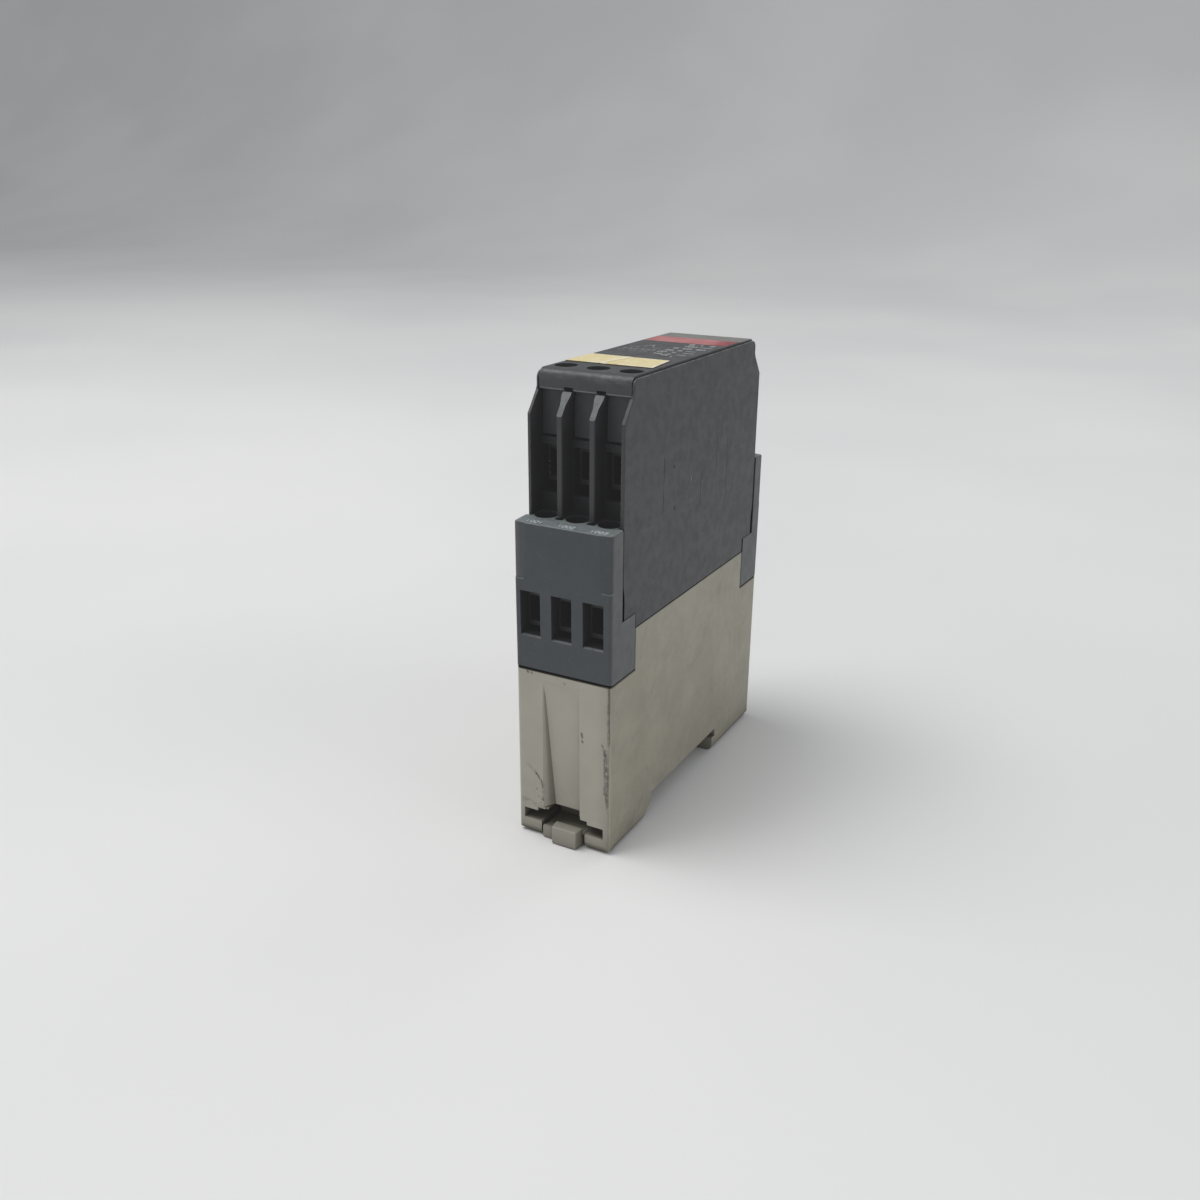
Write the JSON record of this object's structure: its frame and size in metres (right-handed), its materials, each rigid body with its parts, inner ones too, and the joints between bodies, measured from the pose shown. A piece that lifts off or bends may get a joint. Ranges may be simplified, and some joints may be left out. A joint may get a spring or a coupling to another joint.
{
  "type": "phase sequence monitoring relay",
  "caption": "Narrow rail-mounted monitoring relay: beige base with rail latch, dark upper case, screw clamp terminal blocks at both ends, flat printed front.",
  "frame": {"origin": "centre of the footprint, on the plane that the rail side rests on", "axes": "+Z from the rail side to the front face, +X across the narrow width, -Y towards the end with the rail latch and the two tiers of terminals"},
  "size_m": [0.0226, 0.08, 0.1003],
  "materials": {
    "beige_housing": "satin moulded",
    "dark_housing": "fine matt moulded",
    "front_cap": "satin printed front",
    "marker_film": "thin film",
    "terminal_plastic": "fine matt moulded",
    "latch_plastic": "satin moulded",
    "spring_steel": "drawn wire",
    "clear_pipe": "clear moulded",
    "lamp": "tinted resin",
    "board": "solder mask",
    "relay_case": "moulded case",
    "capacitor_box": "potted box",
    "can_sleeve": "shrink sleeve",
    "varistor_coat": "dipped",
    "resistor_coat": "cement coat",
    "chip": "moulded",
    "ceramic": "fired",
    "tinned_copper": "tinned",
    "screw_steel": "zinc plated",
    "cage_steel": "zinc plated"
  },
  "bodies": {
    "housing": {"base_housing": "beige_housing", "upper_housing": "dark_housing", "front_cap": "front_cap", "marker_label": "marker_film", "near_terminal_block": "terminal_plastic", "far_terminal_block": "terminal_plastic", "latch_spring": "spring_steel", "light_pipe": "clear_pipe", "status_lamp": "lamp", "main_board": "board", "output_relay_1": "relay_case", "output_relay_2": "relay_case", "dropping_capacitor_1": "capacitor_box", "dropping_capacitor_2": "capacitor_box", "dropping_capacitor_3": "capacitor_box", "smoothing_capacitor": "can_sleeve", "timing_capacitor": "can_sleeve", "varistors": "varistor_coat", "power_resistors": "resistor_coat", "control_chip": "chip", "opto_couplers": "chip", "rectifier_diodes": "chip", "trim_diodes": "chip", "ceramic_parts": "ceramic", "near_lower_contacts": "tinned_copper", "near_upper_contacts": "tinned_copper", "far_lower_contacts": "tinned_copper"},
    "latch": {"rail_latch": "latch_plastic"},
    "near_lower_screw_1": {"near_lower_screw_1": "screw_steel"},
    "near_lower_cage_1": {"near_lower_cage_1": "cage_steel"},
    "near_lower_screw_2": {"near_lower_screw_2": "screw_steel"},
    "near_lower_cage_2": {"near_lower_cage_2": "cage_steel"},
    "near_lower_screw_3": {"near_lower_screw_3": "screw_steel"},
    "near_lower_cage_3": {"near_lower_cage_3": "cage_steel"},
    "near_upper_screw_1": {"near_upper_screw_1": "screw_steel"},
    "near_upper_cage_1": {"near_upper_cage_1": "cage_steel"},
    "near_upper_screw_2": {"near_upper_screw_2": "screw_steel"},
    "near_upper_cage_2": {"near_upper_cage_2": "cage_steel"},
    "near_upper_screw_3": {"near_upper_screw_3": "screw_steel"},
    "near_upper_cage_3": {"near_upper_cage_3": "cage_steel"},
    "far_lower_screw_1": {"far_lower_screw_1": "screw_steel"},
    "far_lower_cage_1": {"far_lower_cage_1": "cage_steel"},
    "far_lower_screw_2": {"far_lower_screw_2": "screw_steel"},
    "far_lower_cage_2": {"far_lower_cage_2": "cage_steel"},
    "far_lower_screw_3": {"far_lower_screw_3": "screw_steel"},
    "far_lower_cage_3": {"far_lower_cage_3": "cage_steel"}
  },
  "joints": [
    {"name": "rail_latch_slide", "type": "slide", "parent": "housing", "child": "latch", "axis": [0, -1, 0], "range_m": [0, 0.0045], "stiffness_N_per_m": 800, "springref_m": -0.004, "deforming": ["latch_spring"]},
    {"name": "near_lower_cage_1_lift", "type": "slide", "parent": "housing", "child": "near_lower_cage_1", "axis": [0, 0, 1], "range_m": [0, 0.004]},
    {"name": "near_lower_screw_1_turn", "type": "hinge", "parent": "housing", "child": "near_lower_screw_1", "pos_m": [-0.0073, -0.0322, 0.063], "axis": [0, 0, -1], "range_deg": [0, 2882]},
    {"name": "near_lower_cage_2_lift", "type": "slide", "parent": "housing", "child": "near_lower_cage_2", "axis": [0, 0, 1], "range_m": [0, 0.004]},
    {"name": "near_lower_screw_2_turn", "type": "hinge", "parent": "housing", "child": "near_lower_screw_2", "pos_m": [0, -0.0322, 0.063], "axis": [0, 0, -1], "range_deg": [0, 2882]},
    {"name": "near_lower_cage_3_lift", "type": "slide", "parent": "housing", "child": "near_lower_cage_3", "axis": [0, 0, 1], "range_m": [0, 0.004]},
    {"name": "near_lower_screw_3_turn", "type": "hinge", "parent": "housing", "child": "near_lower_screw_3", "pos_m": [0.0073, -0.0322, 0.063], "axis": [0, 0, -1], "range_deg": [0, 2882]},
    {"name": "near_upper_cage_1_lift", "type": "slide", "parent": "housing", "child": "near_upper_cage_1", "axis": [0, 0, 1], "range_m": [0, 0.004]},
    {"name": "near_upper_screw_1_turn", "type": "hinge", "parent": "housing", "child": "near_upper_screw_1", "pos_m": [-0.00705, -0.0241, 0.092], "axis": [0, 0, -1], "range_deg": [0, 2882]},
    {"name": "near_upper_cage_2_lift", "type": "slide", "parent": "housing", "child": "near_upper_cage_2", "axis": [0, 0, 1], "range_m": [0, 0.004]},
    {"name": "near_upper_screw_2_turn", "type": "hinge", "parent": "housing", "child": "near_upper_screw_2", "pos_m": [0.00025, -0.0241, 0.092], "axis": [0, 0, -1], "range_deg": [0, 2882]},
    {"name": "near_upper_cage_3_lift", "type": "slide", "parent": "housing", "child": "near_upper_cage_3", "axis": [0, 0, 1], "range_m": [0, 0.004]},
    {"name": "near_upper_screw_3_turn", "type": "hinge", "parent": "housing", "child": "near_upper_screw_3", "pos_m": [0.00755, -0.0241, 0.092], "axis": [0, 0, -1], "range_deg": [0, 2882]},
    {"name": "far_lower_cage_1_lift", "type": "slide", "parent": "housing", "child": "far_lower_cage_1", "axis": [0, 0, 1], "range_m": [0, 0.004]},
    {"name": "far_lower_screw_1_turn", "type": "hinge", "parent": "housing", "child": "far_lower_screw_1", "pos_m": [-0.0073, 0.0336, 0.063], "axis": [0, 0, -1], "range_deg": [0, 2882]},
    {"name": "far_lower_cage_2_lift", "type": "slide", "parent": "housing", "child": "far_lower_cage_2", "axis": [0, 0, 1], "range_m": [0, 0.004]},
    {"name": "far_lower_screw_2_turn", "type": "hinge", "parent": "housing", "child": "far_lower_screw_2", "pos_m": [0, 0.0336, 0.063], "axis": [0, 0, -1], "range_deg": [0, 2882]},
    {"name": "far_lower_cage_3_lift", "type": "slide", "parent": "housing", "child": "far_lower_cage_3", "axis": [0, 0, 1], "range_m": [0, 0.004]},
    {"name": "far_lower_screw_3_turn", "type": "hinge", "parent": "housing", "child": "far_lower_screw_3", "pos_m": [0.0073, 0.0336, 0.063], "axis": [0, 0, -1], "range_deg": [0, 2882]}
  ],
  "couplings": [
    {"joint": "near_lower_screw_1_turn", "follows": "near_lower_cage_1_lift", "rad_per_m": 12566},
    {"joint": "near_lower_screw_2_turn", "follows": "near_lower_cage_2_lift", "rad_per_m": 12566},
    {"joint": "near_lower_screw_3_turn", "follows": "near_lower_cage_3_lift", "rad_per_m": 12566},
    {"joint": "near_upper_screw_1_turn", "follows": "near_upper_cage_1_lift", "rad_per_m": 12566},
    {"joint": "near_upper_screw_2_turn", "follows": "near_upper_cage_2_lift", "rad_per_m": 12566},
    {"joint": "near_upper_screw_3_turn", "follows": "near_upper_cage_3_lift", "rad_per_m": 12566},
    {"joint": "far_lower_screw_1_turn", "follows": "far_lower_cage_1_lift", "rad_per_m": 12566},
    {"joint": "far_lower_screw_2_turn", "follows": "far_lower_cage_2_lift", "rad_per_m": 12566},
    {"joint": "far_lower_screw_3_turn", "follows": "far_lower_cage_3_lift", "rad_per_m": 12566}
  ]
}
